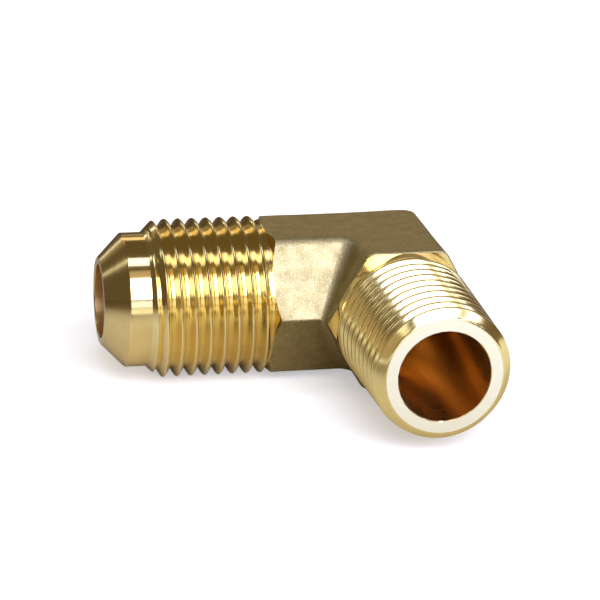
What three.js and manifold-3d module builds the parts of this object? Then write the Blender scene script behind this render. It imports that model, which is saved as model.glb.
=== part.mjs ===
/**
 * Flare fitting: a forged and machined brass elbow.
 *
 * One leg carries a 45 degree flare seat and a straight thread, the other a tapered pipe thread.
 * Millimetres, +Z up. The flare leg points along -X, the pipe leg along -Y, and the two bores cross
 * straight above the origin, which lies on the lower wrench flat.
 *
 * The real fitting is one piece of brass. It is kept here as its zones, which meet face to face on
 * planes square to the bores.
 */
import * as THREE from 'three';
import { mergeVertices } from 'three/addons/utils/BufferGeometryUtils.js';
import Module from 'manifold-3d';

// Driving dimensions, in millimetres. Stations are places along X on the flare leg and along Y on
// the pipe leg, counted from the crossing of the bores, so they are negative towards the mouths.
const PITCH = 25.4 / 18;
const SEGMENTS = 36;

const ACROSS_FLATS = 14.2;
const FLAT_EDGE_RADIUS = 1.2;
const PARTING_EDGE_RADIUS = 0.35;
const PIPE_LEG_NARROWING = 0.957;
const OUTER_CORNER_RADIUS = 1.1;
const INNER_FILLET_AT_FLAT = 1.6;
const INNER_FILLET_AT_PARTING = 0.5;

const FLARE_BODY_END = -12.5;
const FLARE_SHOULDER_RADIUS = 7.3;
const FLARE_THREAD_START = -24.6;
const FLARE_SEAT_BASE = -26.7;
const FLARE_TIP = -29.0;
const FLARE_BORE_RADIUS = 3.7;
const FLARE_FACE_RADIUS = 4.35;
const FLARE_NOSE_RADIUS = 6.7;
const FLARE_CREST_RADIUS = 7.92;
const FLARE_THREAD_DEPTH = 0.95;
const FLARE_CREST_WIDTH = 0.18;
const FLARE_FIRST_CREST = -23.99;
const FLARE_RUNOUT = { length: 1.7, rise: 0.45 };

const PIPE_BODY_END = -9.5;
const PIPE_NECK_END = -10.7;
const PIPE_THREAD_START = -23.45;
const PIPE_CHAMFER_END = -23.9;
const PIPE_TIP = -24.5;
const PIPE_BORE_RADIUS = 4.45;
const PIPE_FACE_RADIUS = 5.7;
const PIPE_CREST_RADIUS = 6.6;
const PIPE_THREAD_DEPTH = 0.9;
const PIPE_CREST_WIDTH = 0.3;
const PIPE_FIRST_CREST = -23.9;
const PIPE_RUNOUT = { length: 4, rise: 0.35 };
const PIPE_TAPER = 1 / 32;

const DRILL_POINT_SLOPE = Math.tan(THREE.MathUtils.degToRad(31));
const THREAD_FLANK_SLOPE = Math.tan(THREE.MathUtils.degToRad(30));
const BLANK_CLEARANCE = 0.3;

// Worked out from the driving dimensions.
const AXIS_HEIGHT = ACROSS_FLATS / 2;
const FLAT_HALF_WIDTH = AXIS_HEIGHT * Math.tan(Math.PI / 6);
const PARTING_HALF_WIDTH = AXIS_HEIGHT / Math.cos(Math.PI / 6);
const PIPE_NECK_RADIUS = pipeCrestRadius(PIPE_NECK_END);

const FORGED_BRASS = { color: 0x8a7446, roughness: 0.62, metalness: 0.85 };
const TURNED_BRASS = { color: 0xd2a955, roughness: 0.28, metalness: 1.0 };
const PALE_BRASS = { color: 0xd9c48a, roughness: 0.34, metalness: 0.95 };

// The bore axes as matrices of zeros and ones, which keep every station exact.
const LATHE_TO_FLARE = axisMatrix('z', 'x', 'y');
const LATHE_TO_PIPE = axisMatrix('x', 'y', 'z');
const HELIX_TO_FLARE = axisMatrix('y', 'z', 'x');
const HELIX_TO_PIPE = axisMatrix('z', 'x', 'y');

const wasm = await Module();
wasm.setup();

/** Matrix that carries the local x, y and z axes onto the three named world axes. */
function axisMatrix(...names) {
  const units = {
    x: new THREE.Vector3(1, 0, 0),
    y: new THREE.Vector3(0, 1, 0),
    z: new THREE.Vector3(0, 0, 1),
  };
  return new THREE.Matrix4().makeBasis(...names.map((name) => units[name]));
}

/** Crest radius of the pipe thread at a station: it grows by 1 in 16 on the diameter. */
function pipeCrestRadius(station) {
  return PIPE_CREST_RADIUS + (station - PIPE_THREAD_START) * PIPE_TAPER;
}

/** Closed geometry as a solid that can be joined and cut. */
function solidOf(geometry) {
  const bare = geometry.clone();
  bare.deleteAttribute('normal');
  bare.deleteAttribute('uv');
  const welded = mergeVertices(bare);
  return new wasm.Manifold(new wasm.Mesh({
    numProp: 3,
    vertProperties: new Float32Array(welded.attributes.position.array),
    triVerts: new Uint32Array(welded.index.array),
  }));
}

/** Geometry of a solid, ready for a mesh. */
function geometryOf(solid) {
  const { vertProperties, triVerts } = solid.getMesh();
  const geometry = new THREE.BufferGeometry();
  geometry.setAttribute('position', new THREE.BufferAttribute(vertProperties, 3));
  geometry.setIndex(new THREE.BufferAttribute(triVerts, 1));
  geometry.computeVertexNormals();
  return geometry;
}

/** Solid turned about a bore axis from a closed outline of [radius, station] points. */
function turned(outline, matrix) {
  const points = [...outline, outline[0]].map(([radius, station]) => new THREE.Vector2(radius, station));
  return solidOf(new THREE.LatheGeometry(points, SEGMENTS).applyMatrix4(matrix));
}

/** Ring with a bore: outline points run from the mouth side to the body side, outside the bore. */
function turnedRing(outside, boreRadius, matrix) {
  const first = outside[0][1];
  const last = outside[outside.length - 1][1];
  return turned([[boreRadius, first], ...outside, [boreRadius, last]], matrix);
}

/**
 * Solid helical ridge on a core, right-handed, along local +Z.
 *
 * The profile is a list of [offset, radiusAt] corners within one pitch. Corner k of step i stands
 * at the angle 2 pi i / SEGMENTS, and the last corner of one turn joins the first of the next.
 * Fans to a point on the axis close both ends.
 */
function helicalSolid(start, end, profile) {
  const turns = Math.ceil((end - start) / PITCH);
  const steps = turns * SEGMENTS;
  const corners = profile.length;
  const positions = [];
  for (let step = 0; step <= steps; step += 1) {
    const angle = (2 * Math.PI * step) / SEGMENTS;
    for (const [offset, radiusAt] of profile) {
      const station = start + (PITCH * step) / SEGMENTS + offset;
      const radius = radiusAt(station);
      positions.push(radius * Math.cos(angle), radius * Math.sin(angle), station);
    }
  }
  const corner = (step, k) => (k < corners ? step * corners + k : (step + SEGMENTS) * corners + k - corners);
  const index = [];
  const lastStep = steps - SEGMENTS;
  for (let step = 0; step < lastStep; step += 1) {
    for (let k = 0; k < corners; k += 1) {
      index.push(corner(step, k), corner(step + 1, k), corner(step + 1, k + 1));
      index.push(corner(step, k), corner(step + 1, k + 1), corner(step, k + 1));
    }
  }
  const startPoint = positions.length / 3;
  positions.push(0, 0, start);
  positions.push(0, 0, start + (PITCH * steps) / SEGMENTS);
  const fan = (centre, step, sense) => {
    for (let i = 0; i < SEGMENTS; i += 1) {
      const pair = [corner(step + i, 0), corner(step + i + 1, 0)];
      index.push(centre, ...(sense > 0 ? pair : pair.reverse()));
    }
    for (let k = 0; k < corners; k += 1) {
      const pair = [corner(step, k + 1), corner(step, k)];
      index.push(centre, ...(sense > 0 ? pair : pair.reverse()));
    }
  };
  fan(startPoint, 0, -1);
  fan(startPoint + 1, lastStep, 1);
  const geometry = new THREE.BufferGeometry();
  geometry.setAttribute('position', new THREE.Float32BufferAttribute(positions, 3));
  geometry.setIndex(index);
  return geometry;
}

/** Profile of a straight or tapered thread, whose root rises where the thread runs out at its end. */
function threadProfile(crestRadiusAt, depth, crestWidth, end, runout) {
  const rootRadiusAt = (station) => {
    const share = THREE.MathUtils.clamp((station - end + runout.length) / runout.length, 0, 1);
    return crestRadiusAt(station) - depth + runout.rise * share;
  };
  const flank = depth * THREAD_FLANK_SLOPE;
  return [
    [0, crestRadiusAt],
    [crestWidth, crestRadiusAt],
    [crestWidth + flank, rootRadiusAt],
    [PITCH - flank, rootRadiusAt],
  ];
}

/** Threaded shank: the ridge trimmed by a bored blank that gives the ends and the lead chamfer. */
function threadedShank(blank, firstCrest, end, profile, helixMatrix) {
  const ridge = helicalSolid(firstCrest - 2 * PITCH, end + 2 * PITCH, profile).applyMatrix4(helixMatrix);
  return solidOf(ridge).intersect(blank);
}

/** Rounded outline of the six-sided section, as [across, height] points about the bore axis. */
function sectionOutline() {
  const corners = [
    [PARTING_HALF_WIDTH, 0, PARTING_EDGE_RADIUS],
    [FLAT_HALF_WIDTH, AXIS_HEIGHT, FLAT_EDGE_RADIUS],
    [-FLAT_HALF_WIDTH, AXIS_HEIGHT, FLAT_EDGE_RADIUS],
    [-PARTING_HALF_WIDTH, 0, PARTING_EDGE_RADIUS],
    [-FLAT_HALF_WIDTH, -AXIS_HEIGHT, FLAT_EDGE_RADIUS],
    [FLAT_HALF_WIDTH, -AXIS_HEIGHT, FLAT_EDGE_RADIUS],
  ];
  const arcSteps = 4;
  const turn = Math.PI / 3;
  return corners.flatMap(([across, height, radius], side) => {
    const middle = side * turn;
    const reach = radius / Math.cos(turn / 2);
    const centre = [across - reach * Math.cos(middle), height - reach * Math.sin(middle)];
    return Array.from({ length: arcSteps + 1 }, (_, step) => {
      const angle = middle - turn / 2 + (turn * step) / arcSteps;
      return [centre[0] + radius * Math.cos(angle), centre[1] + radius * Math.sin(angle)];
    });
  });
}

/** Radius in plan at which a line of the block, this far across from the axis, turns the corner. */
function cornerRadius(across) {
  if (across >= FLAT_HALF_WIDTH) {
    return OUTER_CORNER_RADIUS;
  }
  if (across >= -FLAT_HALF_WIDTH) {
    const share = (across + FLAT_HALF_WIDTH) / (2 * FLAT_HALF_WIDTH);
    return THREE.MathUtils.lerp(INNER_FILLET_AT_FLAT, OUTER_CORNER_RADIUS, share);
  }
  const share = (-across - FLAT_HALF_WIDTH) / (PARTING_HALF_WIDTH - FLAT_HALF_WIDTH);
  return THREE.MathUtils.lerp(INNER_FILLET_AT_FLAT, INNER_FILLET_AT_PARTING, share);
}

/** Forged block: the section carried along the flare leg, round the corner and down the pipe leg. */
function forgedBlock() {
  const turnSteps = 6;
  const outline = sectionOutline();
  const rings = [outline.map(([across, height]) => new THREE.Vector3(FLARE_BODY_END, across, height))];
  for (let step = 0; step <= turnSteps; step += 1) {
    const angle = (Math.PI / 2) * (1 - step / turnSteps);
    rings.push(outline.map(([across, height]) => {
      const radius = cornerRadius(across);
      return new THREE.Vector3(
        across * PIPE_LEG_NARROWING - radius + radius * Math.cos(angle),
        across - radius + radius * Math.sin(angle),
        height,
      );
    }));
  }
  rings.push(outline.map(([across, height]) => (
    new THREE.Vector3(across * PIPE_LEG_NARROWING, PIPE_BODY_END, height)
  )));
  return solidOf(ringSkin(rings));
}

/** Closed skin through rings of equally many points, with a fan over the first and last ring. */
function ringSkin(rings) {
  const count = rings[0].length;
  const index = [];
  for (let ring = 0; ring + 1 < rings.length; ring += 1) {
    for (let k = 0; k < count; k += 1) {
      const near = ring * count + k;
      const next = ring * count + ((k + 1) % count);
      index.push(near, next + count, near + count);
      index.push(near, next, next + count);
    }
  }
  const last = (rings.length - 1) * count;
  for (let k = 1; k + 1 < count; k += 1) {
    index.push(0, k + 1, k);
    index.push(last, last + k, last + k + 1);
  }
  const geometry = new THREE.BufferGeometry().setFromPoints(rings.flat());
  geometry.setIndex(index);
  return geometry;
}

/** Drilled bore, from beyond the mouth of the block to the drill point past the crossing. */
function drilledBore(radius, bodyEnd, matrix) {
  const outline = [[0, bodyEnd - 1], [radius, bodyEnd - 1], [radius, 0], [0, radius * DRILL_POINT_SLOPE]];
  return turned(outline, matrix);
}

/** Ring that cuts the block's corners back to a steep cone where the thread runs out against it. */
function shoulderCutter() {
  const reach = PARTING_HALF_WIDTH + 1;
  const back = (reach - FLARE_SHOULDER_RADIUS) * THREAD_FLANK_SLOPE;
  const beyond = FLARE_BODY_END - 1;
  return turned([
    [FLARE_SHOULDER_RADIUS, beyond],
    [reach, beyond],
    [reach, FLARE_BODY_END + back],
    [FLARE_SHOULDER_RADIUS, FLARE_BODY_END],
  ], LATHE_TO_FLARE);
}

function elbowBody() {
  return forgedBlock()
    .subtract(shoulderCutter())
    .subtract(drilledBore(FLARE_BORE_RADIUS, FLARE_BODY_END, LATHE_TO_FLARE))
    .subtract(drilledBore(PIPE_BORE_RADIUS, PIPE_BODY_END, LATHE_TO_PIPE));
}

function flareSeat() {
  const outside = [[FLARE_FACE_RADIUS, FLARE_TIP], [FLARE_NOSE_RADIUS, FLARE_SEAT_BASE]];
  return turnedRing(outside, FLARE_BORE_RADIUS, LATHE_TO_FLARE);
}

function flareNose() {
  const outside = [[FLARE_NOSE_RADIUS, FLARE_SEAT_BASE], [FLARE_NOSE_RADIUS, FLARE_THREAD_START]];
  return turnedRing(outside, FLARE_BORE_RADIUS, LATHE_TO_FLARE);
}

function flareThread() {
  const clear = FLARE_CREST_RADIUS + BLANK_CLEARANCE;
  const blank = turnedRing([
    [FLARE_NOSE_RADIUS, FLARE_THREAD_START],
    [clear, FLARE_THREAD_START + clear - FLARE_NOSE_RADIUS],
    [clear, FLARE_BODY_END - (clear - FLARE_SHOULDER_RADIUS) * THREAD_FLANK_SLOPE],
    [FLARE_SHOULDER_RADIUS, FLARE_BODY_END],
  ], FLARE_BORE_RADIUS, LATHE_TO_FLARE);
  const crest = () => FLARE_CREST_RADIUS;
  const profile = threadProfile(crest, FLARE_THREAD_DEPTH, FLARE_CREST_WIDTH, FLARE_BODY_END, FLARE_RUNOUT);
  return threadedShank(blank, FLARE_FIRST_CREST, FLARE_BODY_END, profile, HELIX_TO_FLARE);
}

function pipeNeck() {
  const outside = [[PIPE_NECK_RADIUS, PIPE_NECK_END], [PIPE_NECK_RADIUS, PIPE_BODY_END]];
  return turnedRing(outside, PIPE_BORE_RADIUS, LATHE_TO_PIPE);
}

function pipeThread() {
  const blank = turnedRing([
    [pipeCrestRadius(PIPE_THREAD_START), PIPE_THREAD_START],
    [pipeCrestRadius(PIPE_THREAD_START) + BLANK_CLEARANCE, PIPE_THREAD_START + BLANK_CLEARANCE],
    [PIPE_NECK_RADIUS + BLANK_CLEARANCE, PIPE_NECK_END],
  ], PIPE_BORE_RADIUS, LATHE_TO_PIPE);
  const profile = threadProfile(
    pipeCrestRadius, PIPE_THREAD_DEPTH, PIPE_CREST_WIDTH, PIPE_NECK_END, PIPE_RUNOUT,
  );
  return threadedShank(blank, PIPE_FIRST_CREST, PIPE_NECK_END, profile, HELIX_TO_PIPE);
}

function pipeMouth() {
  return turnedRing([
    [PIPE_FACE_RADIUS, PIPE_TIP],
    [pipeCrestRadius(PIPE_CHAMFER_END), PIPE_CHAMFER_END],
    [PIPE_CREST_RADIUS, PIPE_THREAD_START],
  ], PIPE_BORE_RADIUS, LATHE_TO_PIPE);
}

/** Named mesh of one zone with a material of its own. */
function zone(name, solid, finish) {
  const mesh = new THREE.Mesh(geometryOf(solid), new THREE.MeshStandardMaterial(finish));
  mesh.name = name;
  return mesh;
}

const fitting = new THREE.Group();
fitting.position.z = AXIS_HEIGHT;
fitting.add(
  zone('elbow_body', elbowBody(), FORGED_BRASS),
  zone('flare_thread', flareThread(), TURNED_BRASS),
  zone('flare_nose', flareNose(), TURNED_BRASS),
  zone('flare_seat', flareSeat(), TURNED_BRASS),
  zone('pipe_neck', pipeNeck(), PALE_BRASS),
  zone('pipe_thread', pipeThread(), PALE_BRASS),
  zone('pipe_mouth', pipeMouth(), PALE_BRASS),
);

export default fitting;
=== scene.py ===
"""Visual model of a brass flare elbow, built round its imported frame, with a small studio.

The elbow is one hot forging whose two legs were turned, threaded and drilled. Each zone of it is a
closed body of its own here, and the zones meet face to face where the frame's zones meet.

Shapes are worked out in millimetres about the bore axes and placed in the frame in metres. A place
on a leg is a station along its bore, counted from the crossing of the bores and negative towards
the mouth, a radius, and an angle round the bore.
"""

import logging
import math
from collections.abc import Sequence
from dataclasses import dataclass
from enum import Enum
from typing import ClassVar

import bmesh
import bpy
import numpy as np
from mathutils import Matrix, Vector


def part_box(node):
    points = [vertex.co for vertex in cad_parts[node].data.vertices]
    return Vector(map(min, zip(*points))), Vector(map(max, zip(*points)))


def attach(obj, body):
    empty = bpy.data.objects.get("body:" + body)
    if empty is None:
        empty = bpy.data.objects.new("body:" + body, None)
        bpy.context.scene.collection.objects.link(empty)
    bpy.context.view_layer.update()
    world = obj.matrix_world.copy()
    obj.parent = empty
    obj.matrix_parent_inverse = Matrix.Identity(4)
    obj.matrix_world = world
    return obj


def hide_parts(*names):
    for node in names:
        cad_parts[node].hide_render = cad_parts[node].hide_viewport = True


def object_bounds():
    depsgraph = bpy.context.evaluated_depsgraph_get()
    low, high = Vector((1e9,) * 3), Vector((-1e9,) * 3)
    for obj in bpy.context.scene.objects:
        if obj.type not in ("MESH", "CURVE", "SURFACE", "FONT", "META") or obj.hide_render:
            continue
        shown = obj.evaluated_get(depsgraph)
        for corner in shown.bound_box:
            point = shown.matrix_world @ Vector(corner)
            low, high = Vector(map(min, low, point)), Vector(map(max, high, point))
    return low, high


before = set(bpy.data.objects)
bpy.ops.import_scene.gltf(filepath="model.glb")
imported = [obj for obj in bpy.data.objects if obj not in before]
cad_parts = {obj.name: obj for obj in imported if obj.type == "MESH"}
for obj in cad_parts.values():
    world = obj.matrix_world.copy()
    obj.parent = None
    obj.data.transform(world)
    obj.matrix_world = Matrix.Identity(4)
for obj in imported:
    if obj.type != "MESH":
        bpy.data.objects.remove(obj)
CAD_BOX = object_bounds()

LOG = logging.getLogger("flare_elbow")
BODY = "root"

MM = 0.001
FULL_TURN = 2 * math.pi
PITCH = 25.4 / 18
FLANK_SLOPE = math.tan(math.radians(30))
DRILL_POINT_SLOPE = math.tan(math.radians(31))
NEARLY = 1e-6
MERGE_DISTANCE = 1e-7
SHARP_ANGLE = math.radians(38)

Array = np.ndarray
Colour = tuple[float, float, float]


class Leg(Enum):
    """The two legs of the elbow."""

    FLARE = "flare"
    PIPE = "pipe"


class Slot(Enum):
    """Material slots, each of which picks a palette of finishes for a piece."""

    FORGED = "forged_brass"
    TURNED = "turned_brass"
    PALE = "pale_turned_brass"


class Surface(Enum):
    """How a face was made. The value is its place in a piece's list of materials."""

    SKIN = 0
    TURNED = 1
    FACED = 2
    BORED = 3
    SIDE_BORED = 4
    HONED = 5
    CHASED = 6


@dataclass(frozen=True)
class Zone:
    """Where the frame has one zone of a leg, in millimetres: its mouth side, body side and radius."""

    mouth: float
    body: float
    radius: float

    @classmethod
    def measured(cls, node: str, leg: Leg) -> "Zone":
        """Reads a zone from the frame.

        Args:
            node: Name of the CAD node.
            leg: Leg that the node belongs to.

        Returns:
            The zone's stations and its largest radius.
        """
        low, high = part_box(node)
        along = 0 if leg is Leg.FLARE else 1
        return cls(low[along] / MM, high[along] / MM, (high.z - low.z) / 2 / MM)


@dataclass(frozen=True)
class Frame:
    """What the whole elbow shares: the height of the bores and the six-sided section."""

    axis_height: float
    flare_end: float
    pipe_end: float

    @classmethod
    def measured(cls) -> "Frame":
        """Reads the forged block's height and its two ends from the frame.

        Returns:
            What the elbow shares.
        """
        low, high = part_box("elbow_body")
        return cls((low.z + high.z) / 2 / MM, low.x / MM, low.y / MM)

    @property
    def flat_half_width(self) -> float:
        """Half the width of a wrench flat."""
        return self.axis_height * math.tan(math.pi / 6)

    @property
    def parting_half_width(self) -> float:
        """Distance from a bore to the parting line of the forging."""
        return self.axis_height / math.cos(math.pi / 6)

    def placed(self, leg: Leg, station: Array, radius: Array, angle: Array) -> Array:
        """Points given about a bore, as points of the frame in metres.

        On the flare leg the station runs along X, and the angle turns from Y to Z. On the pipe leg
        it runs along Y, and the angle turns from Z to X.

        Args:
            leg: Leg whose bore the points are given about.
            station: Stations in millimetres.
            radius: Radii in millimetres.
            angle: Angles in radians.

        Returns:
            Array of points, one row for each.
        """
        station, radius, angle = np.broadcast_arrays(station, radius, angle)
        even, odd = radius * np.cos(angle), radius * np.sin(angle)
        if leg is Leg.FLARE:
            columns = (station, even, odd + self.axis_height)
        else:
            columns = (odd, station, even + self.axis_height)
        return np.stack([np.ravel(column) for column in columns], axis=1) * MM


def soft_max(a: Array, b: Array | float, blend: float) -> Array:
    """The larger of two values, rounded where they change over: (a + b + root((a-b)^2 + blend^2)) / 2.

    Args:
        a: First values.
        b: Second values.
        blend: Width of the change between them.

    Returns:
        The rounded maximum.
    """
    return (a + b + np.sqrt((a - b) ** 2 + blend**2)) / 2


def soft_min(a: Array, b: Array | float, blend: float) -> Array:
    """The smaller of two values, rounded in the same way.

    Args:
        a: First values.
        b: Second values.
        blend: Width of the change between them.

    Returns:
        The rounded minimum.
    """
    return -soft_max(-a, -b, blend)


def eased(share: Array) -> Array:
    """Smooth step: 3 t^2 - 2 t^3 of the share t held between 0 and 1."""
    held = np.clip(share, 0, 1)
    return held * held * (3 - 2 * held)


def lattice(rows: int, columns: int, wrap_rows: bool, wrap_columns: bool) -> Array:
    """Four-cornered faces of a grid of points.

    Point (row, column) has the number row * columns + column.

    Args:
        rows: Number of rows of points.
        columns: Number of points in a row.
        wrap_rows: Whether the last row joins the first.
        wrap_columns: Whether each row closes on itself.

    Returns:
        Array of faces, row by row.
    """
    row = np.arange(rows if wrap_rows else rows - 1)[:, None]
    column = np.arange(columns if wrap_columns else columns - 1)[None, :]
    next_row, next_column = (row + 1) % rows, (column + 1) % columns
    corners = (
        row * columns + column,
        row * columns + next_column,
        next_row * columns + next_column,
        next_row * columns + column,
    )
    return np.stack([np.ravel(corner) for corner in corners], axis=1)


def filleted(corners: Sequence[tuple[float, float, float]], steps: int = 6) -> Array:
    """Outline through corners that are each rounded to an arc.

    An arc of radius r leaves its corner's sides at the distance r * tan(turn / 2) from the corner.

    Args:
        corners: Station, radius and fillet of each corner.
        steps: Steps of each arc.

    Returns:
        Array of stations and radii.
    """
    points = np.array([complex(station, radius) for station, radius, _ in corners])
    runs = np.diff(points) / np.abs(np.diff(points))
    outline = [points[:1]]
    for place in range(1, len(corners) - 1):
        fillet = corners[place][2]
        if fillet == 0:
            outline.append(points[place : place + 1])
            continue
        turn = np.angle(runs[place] / runs[place - 1])
        start = points[place] - fillet * math.tan(abs(turn) / 2) * runs[place - 1]
        centre = start + 1j * np.sign(turn) * fillet * runs[place - 1]
        outline.append(centre + (start - centre) * np.exp(1j * turn * np.linspace(0, 1, steps + 1)))
    outline.append(points[-1:])
    joined = np.concatenate(outline)
    return np.stack([joined.real, joined.imag], axis=1)


def densified(outline: Array, spacing: float) -> Array:
    """Cuts the long sides of an outline into equal steps.

    Args:
        outline: Stations and radii.
        spacing: Longest step.

    Returns:
        The outline with the points of the steps put in.
    """
    lengths = np.linalg.norm(np.diff(outline, axis=0), axis=1)
    counts = np.maximum(1, np.ceil(lengths / spacing).astype(int))
    sides = zip(outline[:-1], outline[1:], counts)
    return np.concatenate([*(np.linspace(a, b, count, False) for a, b, count in sides), outline[-1:]])


def between(outline: Array, low: float, high: float) -> Array:
    """Cuts an outline off at two stations, with points put in at both.

    Args:
        outline: Stations and radii, with the stations in rising order.
        low: Station of the first point.
        high: Station of the last point.

    Returns:
        The outline from one station to the other.
    """
    stations, radii = outline.T
    inside = outline[(stations > low + NEARLY) & (stations < high - NEARLY)]
    ends = [[station, np.interp(station, stations, radii)] for station in (low, high)]
    return np.concatenate([ends[:1], inside, ends[1:]])


@dataclass
class Skin:
    """A piece's surface before it becomes a mesh: points in metres, faces, and how each was made."""

    points: Array
    faces: Array
    made: Array

    def mesh(self, name: str) -> bpy.types.Mesh:
        """Makes the mesh, with doubles merged and faces turned outwards.

        Args:
            name: Name of the mesh.

        Returns:
            The closed mesh.
        """
        mesh = bpy.data.meshes.new(name)
        mesh.from_pydata(self.points, [], self.faces)
        mesh.polygons.foreach_set("material_index", self.made.astype(np.int32))
        shape = bmesh.new()
        shape.from_mesh(mesh)
        bmesh.ops.remove_doubles(shape, verts=shape.verts, dist=MERGE_DISTANCE)
        bmesh.ops.recalc_face_normals(shape, faces=shape.faces)
        shape.to_mesh(mesh)
        shape.free()
        return mesh


@dataclass(frozen=True)
class Lathe:
    """Turns closed outlines into rings about the bore of one leg."""

    shared: Frame
    leg: Leg
    columns: int = 256

    def ring(self, loop: Array, made: Array, wobble: Array | float = 0.0) -> Skin:
        """Surface of a closed outline turned about the bore.

        Point (i, j) has the station and radius of outline point i and the angle j of a full turn.

        Args:
            loop: Closed outline of stations and radii, without a repeated last point.
            made: How the face after each outline point was made.
            wobble: Change of radius for each outline point and column.

        Returns:
            The ring's surface.
        """
        angle = np.arange(self.columns) * FULL_TURN / self.columns
        radius = loop[:, 1:] + wobble
        points = self.shared.placed(self.leg, loop[:, :1], radius, angle[None, :])
        faces = lattice(len(loop), self.columns, True, True)
        return Skin(points, faces, np.repeat(made, self.columns))

    def solid(self, name: str, outline: Sequence[tuple[float, float]]) -> bpy.types.Object:
        """Plain solid turned from a short outline, for cutting.

        Args:
            name: Name of the object.
            outline: Closed outline of stations and radii.

        Returns:
            The object, which is not yet part of the model.
        """
        loop = np.array(outline)
        skin = self.ring(loop, np.zeros(len(loop)))
        cutter = bpy.data.objects.new(name, skin.mesh(name))
        bpy.context.scene.collection.objects.link(cutter)
        return cutter


class Graph:
    """Adds nodes to a node tree and joins them."""

    def __init__(self, tree: bpy.types.NodeTree) -> None:
        """Keeps the tree that the nodes go into."""
        self.tree = tree

    def add(self, kind: str, inputs: dict | None = None, **settings: object) -> bpy.types.Node:
        """Adds one node.

        Args:
            kind: Type name of the node.
            inputs: Value or feeding socket for each input, by its name or number.
            settings: Properties of the node.

        Returns:
            The node.
        """
        node = self.tree.nodes.new(kind)
        for name, value in settings.items():
            setattr(node, name, value)
        for name, value in (inputs or {}).items():
            self.feed(value, node.inputs[name])
        return node

    def math(self, operation: str, *values: object) -> bpy.types.NodeSocket:
        """Result of one Math node, from its operation and values."""
        return self.add("ShaderNodeMath", dict(enumerate(values)), operation=operation).outputs[0]

    def group(self, tree: bpy.types.NodeTree, inputs: dict) -> bpy.types.Node:
        """Adds a node group.

        Args:
            tree: The group's tree.
            inputs: Value or feeding socket for each input, by its name.

        Returns:
            The node.
        """
        node = self.add("ShaderNodeGroup", node_tree=tree)
        for name, value in inputs.items():
            self.feed(value, node.inputs[name])
        return node

    def feed(self, value: object, socket: bpy.types.NodeSocket) -> None:
        """Joins a socket to another, or gives it a plain value.

        Args:
            value: Feeding socket, or the value.
            socket: Socket that takes it.
        """
        if isinstance(value, bpy.types.NodeSocket):
            self.tree.links.new(value, socket)
        else:
            socket.default_value = value

    def ramp(self, value: object, low: float, high: float, to: tuple[float, float]) -> bpy.types.NodeSocket:
        """Takes a value from one range onto another, and holds it within that.

        Args:
            value: Value or socket.
            low: Start of the first range.
            high: End of the first range.
            to: The two ends of the second range.

        Returns:
            The socket of the result.
        """
        inputs = {"Value": value, "From Min": low, "From Max": high, "To Min": to[0], "To Max": to[1]}
        return self.add("ShaderNodeMapRange", inputs).outputs["Result"]

    def mixed(self, share: object, first: object, second: object) -> bpy.types.NodeSocket:
        """Colour between two.

        Args:
            share: Share of the second colour, from 0 to 1.
            first: Colour, or a socket that gives one.
            second: Colour, or a socket that gives one.

        Returns:
            The socket of the mixed colour.
        """
        ends = [end if isinstance(end, bpy.types.NodeSocket) else (*end, 1) for end in (first, second)]
        return self.add("ShaderNodeMix", {0: share, 6: ends[0], 7: ends[1]}, data_type="RGBA").outputs[2]


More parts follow.
